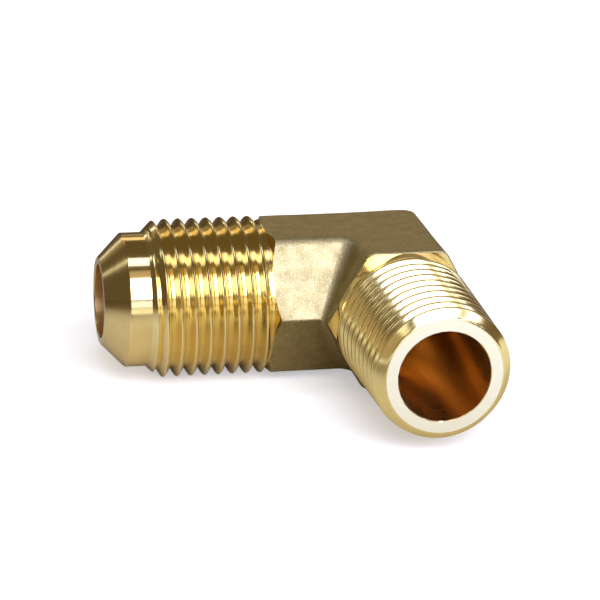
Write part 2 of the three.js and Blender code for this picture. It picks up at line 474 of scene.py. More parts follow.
class Effects:
    """The shader node groups that the finishes share, each built once.

    Each range is the part of a noise that its mask stretches from 0 to 1.
    """

    NOISE_ROUGHNESS = 0.6
    STREAK_SCALE = 0.23
    STREAK_RANGE = (0.35, 0.65)
    SPECK_FINENESS = 1.7
    SPECK_RANGE = (0.56, 0.7)
    MOTTLE_SCALE = 0.7
    MOTTLE_RANGE = (0.36, 0.66)
    CLOUD_RANGE = (0.42, 0.7)

    def __init__(self) -> None:
        """Builds the groups."""
        self.turning = self._turning_marks()
        self.grain = self._blasted_grain()
        self.tarnish = self._tarnish()

    @staticmethod
    def _empty(name: str, inputs: dict[str, str], outputs: Sequence[str]) -> tuple[Graph, bpy.types.Node]:
        """New group with its sockets.

        Args:
            name: Name of the group.
            inputs: Socket type of each input.
            outputs: Names of the values that it puts out.

        Returns:
            The group's graph and its input node.
        """
        tree = bpy.data.node_groups.new(name, "ShaderNodeTree")
        for label, kind in inputs.items():
            tree.interface.new_socket(label, in_out="INPUT", socket_type=kind)
        for label in outputs:
            tree.interface.new_socket(label, in_out="OUTPUT", socket_type="NodeSocketFloat")
        graph = Graph(tree)
        return graph, graph.add("NodeGroupInput")

    def _turning_marks(self) -> bpy.types.NodeTree:
        """Rings left by a cutting tool.

        The tool travels by the station plus the radius, so the rings follow cylinders, cones and end
        faces alike. Noise is drawn out along the rings.

        Returns:
            The group, which gives a height for fine marks and a mask of broad streaks.
        """
        inputs = {"Place": "NodeSocketVector", "Feed": "NodeSocketFloat", "Length": "NodeSocketFloat"}
        graph, given = self._empty("turning_marks", inputs, ["Height", "Streak"])
        place = graph.add("ShaderNodeSeparateXYZ", {0: given.outputs["Place"]})
        across, up = place.outputs["Y"], place.outputs["Z"]
        radius = graph.math("SQRT", graph.math("ADD", graph.math("MULTIPLY", across, across),
                                               graph.math("MULTIPLY", up, up)))
        travel = graph.math("DIVIDE", graph.math("ADD", place.outputs["X"], radius), given.outputs["Feed"])
        drawn = graph.add("ShaderNodeCombineXYZ", {
            "X": travel,
            "Y": graph.math("DIVIDE", across, given.outputs["Length"]),
            "Z": graph.math("DIVIDE", up, given.outputs["Length"]),
        })
        fine = graph.add("ShaderNodeTexNoise", {"Vector": drawn.outputs[0], "Scale": 1.0, "Detail": 2.0})
        broad = graph.add("ShaderNodeTexNoise", {
            "Vector": drawn.outputs[0], "Scale": self.STREAK_SCALE, "Detail": 1.0})
        graph.add("NodeGroupOutput", {
            "Height": fine.outputs[0],
            "Streak": graph.ramp(broad.outputs[0], *self.STREAK_RANGE, (0, 1)),
        })
        return graph.tree

    def _blasted_grain(self) -> bpy.types.NodeTree:
        """Dimples of a shot-blasted forging: fine pits, single bright specks and a slow mottle.

        Returns:
            The group, which gives a height for the pits and masks of the specks and the mottle.
        """
        inputs = {"Place": "NodeSocketVector", "Grain": "NodeSocketFloat"}
        graph, given = self._empty("blasted_grain", inputs, ["Height", "Speck", "Mottle"])
        finer = graph.math("DIVIDE", 1.0, given.outputs["Grain"])
        pits = graph.add("ShaderNodeTexNoise", {
            "Vector": given.outputs["Place"], "Scale": finer, "Detail": 3.0,
            "Roughness": self.NOISE_ROUGHNESS})
        specks = graph.add("ShaderNodeTexNoise", {
            "Vector": given.outputs["Place"],
            "Scale": graph.math("MULTIPLY", finer, self.SPECK_FINENESS),
            "Detail": 1.0})
        mottle = graph.add("ShaderNodeTexNoise", {
            "Vector": given.outputs["Place"], "Scale": self.MOTTLE_SCALE, "Detail": 4.0,
            "Roughness": self.NOISE_ROUGHNESS})
        graph.add("NodeGroupOutput", {
            "Height": pits.outputs[0],
            "Speck": graph.ramp(specks.outputs[0], *self.SPECK_RANGE, (0, 1)),
            "Mottle": graph.ramp(mottle.outputs[0], *self.MOTTLE_RANGE, (0, 1)),
        })
        return graph.tree

    def _tarnish(self) -> bpy.types.NodeTree:
        """Faint cloudy patches of handling and tarnish.

        Returns:
            The group, which gives a mask of the patches.
        """
        inputs = {"Place": "NodeSocketVector", "Patch": "NodeSocketFloat"}
        graph, given = self._empty("tarnish", inputs, ["Mask"])
        cloud = graph.add("ShaderNodeTexNoise", {
            "Vector": given.outputs["Place"], "Scale": graph.math("DIVIDE", 1.0, given.outputs["Patch"]),
            "Detail": 5.0, "Roughness": self.NOISE_ROUGHNESS})
        graph.add("NodeGroupOutput", {"Mask": graph.ramp(cloud.outputs[0], *self.CLOUD_RANGE, (0, 1))})
        return graph.tree


@dataclass(frozen=True)
class TurnedFinish:
    """Bright metal cut on a lathe or with a drill, with the rings that the tool left.

    The mark depth is in metres, and the feed and length of the marks are in millimetres.
    """

    CLOUD_SHARE: ClassVar[float] = 0.65

    name: str
    clean: Colour
    dull: Colour
    roughness: tuple[float, float]
    feed: float = 0.16
    length: float = 9.0
    mark_depth: float = 4e-7
    patch: float = 2.6

    def material(self, effects: Effects, shared: Frame, leg: Leg) -> bpy.types.Material:
        """Makes the material for one leg.

        Args:
            effects: The shared node groups.
            shared: Height of the bores.
            leg: Leg whose bore the rings go round.

        Returns:
            The material.
        """
        material = bpy.data.materials.new(f"{self.name}_{leg.value}")
        graph, shader, place = started(material, shared, leg)
        marks = graph.group(effects.turning, {"Place": place, "Feed": self.feed, "Length": self.length})
        cloud = graph.group(effects.tarnish, {"Place": place, "Patch": self.patch})
        tone = graph.math("ADD", graph.math("MULTIPLY", cloud.outputs["Mask"], self.CLOUD_SHARE),
                          graph.math("MULTIPLY", marks.outputs["Streak"], 1 - self.CLOUD_SHARE))
        colour = graph.mixed(tone, self.clean, self.dull)
        bump = graph.add("ShaderNodeBump", {
            "Height": marks.outputs["Height"], "Strength": 1.0, "Distance": self.mark_depth})
        graph.feed(colour, shader.inputs["Base Color"])
        graph.feed(graph.ramp(tone, 0, 1, self.roughness), shader.inputs["Roughness"])
        graph.feed(bump.outputs[0], shader.inputs["Normal"])
        return material


@dataclass(frozen=True)
class ForgedFinish:
    """Dull, finely pitted skin of a shot-blasted forging.

    The pit depth is in metres, and the grain is the size of a pit in millimetres.
    """

    SPECK_SHARE: ClassVar[float] = 0.6

    name: str
    clean: Colour
    scale: Colour
    bright: Colour
    roughness: tuple[float, float]
    grain: float = 0.2
    pit_depth: float = 4.5e-5

    def material(self, effects: Effects, shared: Frame, leg: Leg) -> bpy.types.Material:
        """Makes the material.

        Args:
            effects: The shared node groups.
            shared: Height of the bores.
            leg: Leg whose bore the pattern is centred on.

        Returns:
            The material.
        """
        material = bpy.data.materials.new(self.name)
        graph, shader, place = started(material, shared, leg)
        grain = graph.group(effects.grain, {"Place": place, "Grain": self.grain})
        skin = graph.mixed(grain.outputs["Mottle"], self.clean, self.scale)
        speck = graph.math("MULTIPLY", grain.outputs["Speck"], self.SPECK_SHARE)
        bump = graph.add("ShaderNodeBump", {
            "Height": grain.outputs["Height"], "Strength": 1.0, "Distance": self.pit_depth})
        graph.feed(graph.mixed(speck, skin, self.bright), shader.inputs["Base Color"])
        graph.feed(graph.ramp(grain.outputs["Mottle"], 0, 1, self.roughness), shader.inputs["Roughness"])
        graph.feed(bump.outputs[0], shader.inputs["Normal"])
        return material


def started(
    material: bpy.types.Material, shared: Frame, leg: Leg
) -> tuple[Graph, bpy.types.Node, bpy.types.NodeSocket]:
    """Gives a material its metal shader and the place on the leg that patterns read.

    The place is in millimetres, with X along the bore and the bore at the middle of Y and Z.

    Args:
        material: New material.
        shared: Height of the bores.
        leg: Leg that the pattern follows.

    Returns:
        The material's graph, its shader and the place.
    """
    material.use_nodes = True
    graph = Graph(material.node_tree)
    shader = material.node_tree.nodes["Principled BSDF"]
    shader.inputs["Metallic"].default_value = 1.0
    coordinates = graph.add("ShaderNodeTexCoord")
    centred = graph.add("ShaderNodeMapping", {
        "Vector": coordinates.outputs["Object"],
        "Location": (0, 0, -shared.axis_height),
        "Scale": (1 / MM, 1 / MM, 1 / MM),
    })
    if leg is Leg.FLARE:
        return graph, shader, centred.outputs[0]
    parts = graph.add("ShaderNodeSeparateXYZ", {0: centred.outputs[0]})
    swapped = graph.add("ShaderNodeCombineXYZ", {
        "X": parts.outputs["Y"], "Y": parts.outputs["X"], "Z": parts.outputs["Z"]})
    return graph, shader, swapped.outputs[0]


BRIGHT_BRASS = TurnedFinish("bright_brass", (0.90, 0.70, 0.29), (0.84, 0.63, 0.24), (0.09, 0.15))
HONED_BRASS = TurnedFinish("honed_brass", (0.85, 0.66, 0.29), (0.77, 0.57, 0.23), (0.17, 0.23),
                           mark_depth=1.2e-6)
CHASED_BRASS = TurnedFinish("chased_brass", (0.93, 0.76, 0.35), (0.88, 0.70, 0.31), (0.12, 0.16))
PALE_BRASS = TurnedFinish("pale_brass", (0.86, 0.69, 0.285), (0.76, 0.59, 0.23), (0.13, 0.19))
FACED_BRASS = TurnedFinish("faced_brass", (0.98, 0.92, 0.68), (0.95, 0.87, 0.61), (0.4, 0.48), feed=0.22,
                           mark_depth=1.5e-6)
BORED_BRASS = TurnedFinish("bored_brass", (0.93, 0.62, 0.23), (0.90, 0.585, 0.20), (0.27, 0.3), feed=2.5,
                           length=40.0, mark_depth=0.0, patch=14.0)
FORGED_BRASS = ForgedFinish("forged_brass", (0.445, 0.355, 0.145), (0.375, 0.29, 0.108), (0.66, 0.58, 0.38),
                            (0.42, 0.5))


class Workshop:
    """Makes finished pieces of meshes: materials, smooth shading, and the frame's bookkeeping."""

    def __init__(self, shared: Frame) -> None:
        """Makes the materials that the pieces share.

        Args:
            shared: Height of the bores.
        """
        self.shared = shared
        effects = Effects()
        forged = FORGED_BRASS.material(effects, shared, Leg.FLARE)
        bright = BRIGHT_BRASS.material(effects, shared, Leg.FLARE)
        pale = PALE_BRASS.material(effects, shared, Leg.PIPE)
        faced = {leg: FACED_BRASS.material(effects, shared, leg) for leg in Leg}
        bored = {leg: BORED_BRASS.material(effects, shared, leg) for leg in Leg}
        honed = HONED_BRASS.material(effects, shared, Leg.FLARE)
        chased = CHASED_BRASS.material(effects, shared, Leg.FLARE)
        self.palettes = {
            Slot.FORGED: {Surface.SKIN: forged, Surface.TURNED: bright, Surface.FACED: faced[Leg.PIPE],
                          Surface.BORED: bored[Leg.FLARE], Surface.SIDE_BORED: bored[Leg.PIPE]},
            Slot.TURNED: {Surface.SKIN: bright, Surface.FACED: faced[Leg.FLARE],
                          Surface.BORED: bored[Leg.FLARE], Surface.HONED: honed, Surface.CHASED: chased},
            Slot.PALE: {Surface.SKIN: pale, Surface.FACED: faced[Leg.PIPE], Surface.BORED: bored[Leg.PIPE],
                        Surface.SIDE_BORED: bored[Leg.PIPE]},
        }

    @staticmethod
    def _crease(mesh: bpy.types.Mesh, made: Array) -> None:
        """Makes the edges sharp where a drilled or faced surface meets one made in another way.

        Args:
            mesh: The piece's mesh.
            made: How each of its faces was made.
        """
        corners = np.zeros(len(mesh.polygons), np.int32)
        edges = np.zeros(len(mesh.loops), np.int32)
        sharp = np.zeros(len(mesh.edges), bool)
        mesh.polygons.foreach_get("loop_total", corners)
        mesh.loops.foreach_get("edge_index", edges)
        mesh.edges.foreach_get("use_edge_sharp", sharp)
        kinds = np.repeat(made, corners)
        lowest, highest = np.full(len(sharp), len(Surface)), np.zeros(len(sharp), int)
        np.minimum.at(lowest, edges, kinds)
        np.maximum.at(highest, edges, kinds)
        cut = [Surface.FACED.value, Surface.BORED.value, Surface.SIDE_BORED.value]
        sharp |= (lowest < highest) & (np.isin(lowest, cut) | np.isin(highest, cut))
        mesh.edges.foreach_set("use_edge_sharp", sharp)

    def finish(self, mesh: bpy.types.Mesh, node: str, slot: Slot) -> bpy.types.Object:
        """Makes a mesh into a finished piece that stands for a CAD node.

        Args:
            mesh: The piece's mesh, whose name becomes the piece's name.
            node: CAD node that the piece stands for.
            slot: Material slot, which picks the palette of finishes.

        Returns:
            The piece.
        """
        made = np.zeros(len(mesh.polygons), np.int32)
        mesh.polygons.foreach_get("material_index", made)
        mesh.materials.clear()
        palette = self.palettes[slot]
        for surface in Surface:
            mesh.materials.append(palette.get(surface, palette[Surface.SKIN]))
        mesh.polygons.foreach_set("material_index", made)
        mesh.shade_smooth()
        mesh.set_sharp_from_angle(angle=SHARP_ANGLE)
        self._crease(mesh, made)
        piece = bpy.data.objects.new(mesh.name, mesh)
        bpy.context.scene.collection.objects.link(piece)
        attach(piece, BODY)
        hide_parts(node)
        LOG.info("%s: %d faces, stands for %s", piece.name, len(mesh.polygons), node)
        return piece


@dataclass(frozen=True)
class BlockSection:
    """Rounded six-sided section of the forging, in millimetres across a leg and in height."""

    shared: Frame
    flat_edge: float = 1.2
    corner_edge: float = 0.4
    parting_edge: float = 0.35
    arc_steps: int = 8
    flat_steps: int = 30

    def outline(self, sharpened: Array) -> tuple[Array, Array]:
        """Section at each place along the path.

        Each of the six edges is an arc of 60 degrees that touches both its sides, and the sides are
        straight between the arcs.

        Args:
            sharpened: How far the outer edges are drawn sharp at each place, from 0 to 1.

        Returns:
            Distance across from the bore, and height over the bore, with a row for each place.
        """
        height = self.shared.axis_height
        flat, parting = self.shared.flat_half_width, self.shared.parting_half_width
        outer = self.flat_edge + (self.corner_edge - self.flat_edge) * sharpened[:, None]
        inner = np.full_like(outer, self.flat_edge)
        seam = np.full_like(outer, self.parting_edge)
        corners = [(parting, 0, seam), (flat, height, outer), (-flat, height, inner),
                   (-parting, 0, seam), (-flat, -height, inner), (flat, -height, outer)]
        arcs = []
        for side, (across, up, radius) in enumerate(corners):
            middle = side * math.pi / 3
            reach = radius / math.cos(math.pi / 6)
            angle = middle + np.linspace(-math.pi / 6, math.pi / 6, self.arc_steps + 1)
            arcs.append(np.stack([
                across - reach * math.cos(middle) + radius * np.cos(angle),
                up - reach * math.sin(middle) + radius * np.sin(angle)]))
        share = np.linspace(0, 1, self.flat_steps + 1)[1:-1]
        strips = []
        for arc, following in zip(arcs, arcs[1:] + arcs[:1]):
            start, end = arc[:, :, -1:], following[:, :, :1]
            strips += [arc, start + (end - start) * share]
        across, up = np.concatenate(strips, axis=2)
        return across, up

    def reach(self, narrowing: float, angle: Array) -> Array:
        """Distance from the bore to the outline.

        Args:
            narrowing: How far the section is narrowed across, as a share of its width.
            angle: Angles about the bore, turning from across to up.

        Returns:
            The distance at each angle.
        """
        across, up = (side[0] for side in self.outline(np.zeros(1)))
        bearing = np.arctan2(up, across * narrowing) % FULL_TURN
        order = np.argsort(bearing)
        distance = np.hypot(up, across * narrowing)
        return np.interp(angle % FULL_TURN, bearing[order], distance[order], period=FULL_TURN)


@dataclass(frozen=True)
class ForgedBlock:
    """The forged block: the section carried along one leg, round the corner and down the other.

    All sizes are in millimetres. The tilts are how squarely a cut face looks out along its leg, from
    0 to 1.
    """

    shared: Frame
    section: BlockSection
    flare_bore: float
    pipe_bore: float
    shoulder_radius: float
    narrowing: float = 0.957
    outer_corner: float = 1.1
    inner_corner_at_flat: float = 1.6
    inner_corner_at_parting: float = 0.5
    leg_steps: int = 48
    turn_steps: int = 26
    sharp_span: float = 6.4
    waviness: float = 0.005
    wave_count: int = 8
    wave_lengths: tuple[float, float] = (2.2, 6.0)
    wave_seed: int = 11
    calm_margin: float = 0.5
    end_chamfer: float = 0.12
    clearance: float = 1.0
    slack: float = 0.05
    shoulder_tilt: float = 0.5
    face_tilt: float = 0.9

    def _path(self) -> tuple[Array, Array, Array]:
        """Lays out the rows of the sweep.

        Returns:
            Shares of the flare leg, the turn and the pipe leg that each row has behind it.
        """
        leg = np.linspace(0, 1, self.leg_steps + 1)
        turn = np.linspace(0, 1, self.turn_steps + 1)[1:-1]
        ones, zeros = np.ones(self.leg_steps + 1), np.zeros(self.leg_steps + 1)
        flare = np.concatenate([leg, np.ones_like(turn), ones])
        round_corner = np.concatenate([zeros, turn, ones])
        pipe = np.concatenate([zeros, np.zeros_like(turn), leg])
        return flare, round_corner, pipe

    def _surface(self) -> Array:
        """Points of the swept section in millimetres, as rows by columns by axes.

        A line of the block at the distance a across runs at y = a down the flare leg, turns on an arc
        of its own radius, and runs at x = narrowing * a down the pipe leg.

        Returns:
            Array of points.
        """
        flare, turn, pipe = self._path()
        from_corner = np.maximum((1 - flare) * -self.shared.flare_end, pipe * -self.shared.pipe_end)
        across, up = self.section.outline(1 - eased(from_corner / self.sharp_span))
        flat, parting = self.shared.flat_half_width, self.shared.parting_half_width
        bend = np.interp(across, [-parting, -flat, flat, parting],
                         [self.inner_corner_at_parting, self.inner_corner_at_flat,
                          self.outer_corner, self.outer_corner])
        flare, turn, pipe = flare[:, None], turn[:, None] * math.pi / 2, pipe[:, None]
        leg_start = self.narrowing * across - bend
        x = self.shared.flare_end + (leg_start - self.shared.flare_end) * flare + bend * np.sin(turn)
        y = across - bend * (1 - np.cos(turn)) + (self.shared.pipe_end - across + bend) * pipe
        return np.stack([x, y, up], axis=2)

    def _waves(self, points: Array) -> Array:
        """Slow waves of a forged skin: a sum of plane waves of seeded directions and lengths.

        Args:
            points: Points in millimetres, as rows by columns by axes.

        Returns:
            Height at each point, with a spread of about 1.
        """
        draw = np.random.default_rng(self.wave_seed)
        directions = draw.normal(size=(self.wave_count, 3))
        directions /= np.linalg.norm(directions, axis=1, keepdims=True)
        lengths = draw.uniform(*self.wave_lengths, self.wave_count)
        phases = draw.uniform(0, FULL_TURN, self.wave_count)
        waves = np.sin(points @ (directions.T * FULL_TURN / lengths) + phases)
        return waves.sum(axis=2) / math.sqrt(self.wave_count)

    def _skin(self) -> Skin:
        """Waves the swept section a little, chamfers its pipe end and closes both ends.

        Returns:
            The closed skin.
        """
        points = self._surface()
        along = np.gradient(points, axis=0)
        round_it = np.roll(points, -1, axis=1) - np.roll(points, 1, axis=1)
        normal = np.cross(round_it, along)
        normal /= np.maximum(np.linalg.norm(normal, axis=2, keepdims=True), NEARLY)
        ends = [self.shared.flare_end, self.shared.pipe_end]
        from_ends = (points[:, :, :2] - ends).min(axis=2)
        calm = eased(from_ends / self.calm_margin)
        points = points + normal * (self._waves(points) * self.waviness * calm)[:, :, None]
        columns = points.shape[1]
        first = np.broadcast_to([self.shared.flare_end, 0, 0], (1, columns, 3))
        last = np.broadcast_to([0, self.shared.pipe_end, 0], (1, columns, 3))
        rim = points[-1:] - normal[-1:] * self.end_chamfer
        points[-1, :, 1] += self.end_chamfer
        points = np.concatenate([first, points, rim, last])
        placed = (points.reshape(-1, 3) + [0, 0, self.shared.axis_height]) * MM
        faces = lattice(len(points), columns, False, True)
        return Skin(placed, faces, np.zeros(len(faces)))

    def _cutters(self) -> list[bpy.types.Object]:
        """Makes the tools that cut the block.

        Returns:
            The two drills, and the ring that cuts the corners back where the flare thread runs out.
        """
        flare, pipe = Lathe(self.shared, Leg.FLARE), Lathe(self.shared, Leg.PIPE)
        reach = self.shared.parting_half_width + self.clearance
        foot, face = self.shoulder_radius, self.shared.flare_end
        drills = []
        holes = ((flare, face, self.flare_bore), (pipe, self.shared.pipe_end, self.pipe_bore))
        for lathe, end, bore in holes:
            start = end - self.clearance
            drills.append(lathe.solid(f"{lathe.leg.value}_drill", [
                (start, 0), (start, bore), (0, bore), (bore * DRILL_POINT_SLOPE, 0)]))
        shoulder_tool = flare.solid("shoulder_tool", [
            (face - self.clearance, foot), (face - self.clearance, reach),
            (face + (reach - foot) * FLANK_SLOPE, reach), (face, foot)])
        return [*drills, shoulder_tool]

    def _sorted_faces(self, mesh: bpy.types.Mesh) -> Array:
        """Tells from a face's place and direction how it was made.

        Args:
            mesh: The cut block.

        Returns:
            The Surface value of each face.
        """
        centre = np.zeros(len(mesh.polygons) * 3)
        normal = np.zeros_like(centre)
        mesh.polygons.foreach_get("center", centre)
        mesh.polygons.foreach_get("normal", normal)
        x, y, z = (centre.reshape(-1, 3) / MM - [0, 0, self.shared.axis_height]).T
        towards_x, towards_y, _ = normal.reshape(-1, 3).T
        flare_tip, pipe_tip = self.flare_bore * DRILL_POINT_SLOPE, self.pipe_bore * DRILL_POINT_SLOPE
        in_flare = (np.hypot(y, z) < self.flare_bore + self.slack) & (x < flare_tip + self.slack)
        in_pipe = (np.hypot(x, z) < self.pipe_bore + self.slack) & (y < pipe_tip + self.slack)
        shoulder = (x < self.shared.flare_end + self.clearance) & (towards_x < -self.shoulder_tilt)
        faced = (y < self.shared.pipe_end + self.slack) & (towards_y < -self.face_tilt)
        kinds = [Surface.SIDE_BORED, Surface.BORED, Surface.TURNED, Surface.TURNED]
        return np.select([in_pipe, in_flare, faced, shoulder], [kind.value for kind in kinds], 0)

    def build(self, workshop: Workshop) -> bpy.types.Object:
        """Builds the block and drills it.

        Args:
            workshop: Finishes the piece.

        Returns:
            The piece.
        """
        blank = bpy.data.objects.new("blank", self._skin().mesh("blank"))
        bpy.context.scene.collection.objects.link(blank)
        cutters = self._cutters()
        for cutter in cutters:
            cut = blank.modifiers.new(cutter.name, "BOOLEAN")
            cut.operation, cut.solver, cut.object = "DIFFERENCE", "MANIFOLD", cutter
        evaluated = blank.evaluated_get(bpy.context.evaluated_depsgraph_get())
        mesh = bpy.data.meshes.new_from_object(evaluated)
        for scrap in [blank, *cutters]:
            bpy.data.objects.remove(scrap)
        mesh.name = "forged_block"
        mesh.polygons.foreach_set("material_index", self._sorted_faces(mesh).astype(np.int32))
        return workshop.finish(mesh, "elbow_body", Slot.FORGED)


@dataclass(frozen=True)
class ThreadForm:
    """Profile of a sixty-degree thread, in millimetres, with rounded crests and roots."""

    depth: float
    crest_width: float
    crest_blend: float
    root_blend: float
    crest_at_zero: float

    def drop(self, station: Array, angle: Array, depth: Array) -> Array:
        """How far the surface lies below the crests.

        The distance to the nearest crest, less half the crest's width, sinks at the flank's slope
        until it meets the root. Both changes of slope are rounded.

        Args:
            station: Stations of the points.
            angle: Angles of the points. One full turn moves a crest on by one pitch.
            depth: Depth of the root at the points.

        Returns:
            The drop in millimetres.
        """
        turns = (station - self.crest_at_zero) / PITCH - angle / FULL_TURN
        from_crest = np.abs(turns - np.round(turns)) * PITCH
        sink = (from_crest - self.crest_width / 2) / FLANK_SLOPE
        top = soft_max(np.array(-self.crest_width / 2 / FLANK_SLOPE), 0.0, self.crest_blend)
        sunk = soft_max(sink, 0.0, self.crest_blend) - top
        return np.minimum(soft_min(sunk, depth, self.root_blend), depth)


@dataclass(frozen=True)
class Shank:
    """Grid of a threaded surface whose rows follow the helix."""

    FACE_MARGIN: ClassVar[float] = 0.03

    shared: Frame
    leg: Leg
    zone: Zone
    bore: float
    columns: int = 252
    rows_per_pitch: int = 28

    def grid(self) -> tuple[Array, Array]:
        """Station and angle of each grid point.

        The first row starts one pitch before the zone and climbs one pitch in a full turn. Each row
        after it starts a step further on, with rows_per_pitch steps to a pitch. Stations outside the
        zone are held at its two end planes.

        Returns:
            Stations and angles, as rows by columns.
        """
        length = self.zone.body - self.zone.mouth
        rows = math.ceil((length / PITCH + 1) * self.rows_per_pitch) + 1
        start = self.zone.mouth - PITCH + np.arange(rows)[:, None] * PITCH / self.rows_per_pitch
        angle = np.broadcast_to(np.linspace(0, FULL_TURN, self.columns + 1), (rows, self.columns + 1))
        station = np.clip(start + angle * PITCH / FULL_TURN, self.zone.mouth, self.zone.body)
        return station, angle

    def skin(
        self, station: Array, angle: Array, radius: Array, lip: float = 0.0, ragged: Array | float = 0.0
    ) -> Skin:
        """Closed surface: the threaded grid, an end face at each plane, and the bore.

        Args:
            station: Stations of the grid.
            angle: Angles of the grid.
            radius: Radii of the grid.
            lip: Size of the broken edge of the bore at the mouth.
            ragged: Change of the bore's radius at the mouth, for each column.

        Returns:
            The surface of the bored shank.
        """
        planes = np.array([[self.zone.mouth], [self.zone.body], [self.zone.mouth + lip]])
        inner = np.array([[self.bore + lip], [self.bore], [self.bore]])
        inner = inner + np.array([[1.0], [0.0], [0.0]]) * ragged
        inner = np.broadcast_to(inner, (3, station.shape[1]))
        planes = np.broadcast_to(planes, inner.shape)
        station = np.concatenate([planes[:1], planes[:1], station, planes[1:]])
        radius = np.concatenate([inner[:1], radius[:1] - self.FACE_MARGIN, radius, inner[1:]])
        points = self.shared.placed(self.leg, station, radius, angle[:1])
        rows, columns = station.shape
        faces = lattice(rows, columns, True, False)
        made = np.full((rows, columns - 1), Surface.CHASED.value)
        made[:2] = Surface.FACED.value
        made[-2] = Surface.BORED.value
        # The broken edge is a kind of its own, so that it meets the bore and the end face sharply.
        made[-1] = Surface.SIDE_BORED.value
        return Skin(points, faces, made.ravel())


@dataclass(frozen=True)
class FlareLeg:
    """The flare leg: seat, pilot nose and straight thread, in millimetres."""

    shared: Frame
    section: BlockSection
    seat: Zone
    nose: Zone
    thread: Zone
    bore: float = 3.7
    face_radius: float = 4.35
    face_edge: float = 0.09
    nose_edge: float = 0.16
    bore_lip: float = 0.08
    shoulder_radius: float = 7.3
    runout_length: float = 1.7
    runout_rise: float = 0.08
    form: ThreadForm = ThreadForm(0.95, 0.16, 0.16, 0.12, -23.547 - PITCH / 4)
    envelope_blend: float = 0.05
    ring_spacing: float = 0.12

    def _outline(self) -> Array:
        """Draws the outside of the leg from the mouth to the thread.

        Returns:
            Stations and radii.
        """
        return densified(filleted([
            (self.seat.mouth, self.bore + self.bore_lip, 0),
            (self.seat.mouth, self.face_radius, self.face_edge),
            (self.seat.body, self.nose.radius, self.nose_edge),
            (self.nose.body, self.nose.radius, 0),
        ]), self.ring_spacing)

    def _ring(self, name: str, outer: Array) -> bpy.types.Mesh:
        """Bores a ring with the given outside and closes it along its two end planes.

        Args:
            name: Name of the mesh.
            outer: Stations and radii of the outside, from the mouth on.

        Returns:
            The ring's mesh.
        """
        back = [[outer[-1, 0], self.bore], [outer[0, 0] + self.bore_lip, self.bore]]
        loop = np.concatenate([outer, back])
        made = np.full(len(loop), Surface.TURNED.value)
        made[loop[:, 0] < self.seat.body - self.nose_edge] = Surface.HONED.value
        on_face = (loop[:, 0] < self.seat.mouth + NEARLY) & (loop[:, 1] < self.face_radius - self.face_edge)
        made[on_face] = Surface.FACED.value
        made[-2] = Surface.BORED.value
        return Lathe(self.shared, Leg.FLARE).ring(loop, made).mesh(name)

    def _seat(self) -> bpy.types.Mesh:
        """Makes the 45 degree seat with its mouth.

        Returns:
            The seat's mesh.
        """
        outline = self._outline()
        face = outline[outline[:, 0] < self.seat.mouth + NEARLY]
        cone = between(outline[len(face) - 1 :], self.seat.mouth, self.seat.body)
        return self._ring("flare_seat_cone", np.concatenate([face[:-1], cone]))

    def _nose(self) -> bpy.types.Mesh:
        """Makes the plain pilot nose."""
        return self._ring("pilot_nose", between(self._outline(), self.nose.mouth, self.nose.body))

    def _thread(self) -> bpy.types.Mesh:
        """Makes the straight thread.

        Its surface is the thread form held under a lead chamfer of 45 degrees at the nose and under
        a steep flank at the block. A bank whose foot follows the block's section closes the last groove.

        Returns:
            The thread's mesh.
        """
        shank = Shank(self.shared, Leg.FLARE, self.thread, self.bore)
        station, angle = shank.grid()
        rise = np.clip((station - self.thread.body + self.runout_length) / self.runout_length, 0, 1)
        depth = self.form.depth - self.runout_rise * rise
        radius = self.thread.radius - self.form.drop(station, angle, depth)
        chamfer = self.nose.radius + station - self.thread.mouth
        foot = np.minimum(self.shoulder_radius, self.section.reach(1.0, angle))
        flank = foot + (self.thread.body - station) / FLANK_SLOPE
        bank = foot - (self.thread.body - station) / FLANK_SLOPE
        radius = soft_min(soft_min(radius, chamfer, self.envelope_blend), flank, self.envelope_blend)
        radius = soft_max(radius, bank, self.envelope_blend)
        radius = np.where(station == self.thread.mouth, self.nose.radius, radius)
        radius = np.where(station == self.thread.body, foot, radius)
        return shank.skin(station, angle, radius).mesh("flare_thread_turned")

    def build(self, workshop: Workshop) -> None:
        """Builds the three pieces of the leg.

        Args:
            workshop: Finishes the pieces.
        """
        workshop.finish(self._seat(), "flare_seat", Slot.TURNED)
        workshop.finish(self._nose(), "flare_nose", Slot.TURNED)
        workshop.finish(self._thread(), "flare_thread", Slot.TURNED)


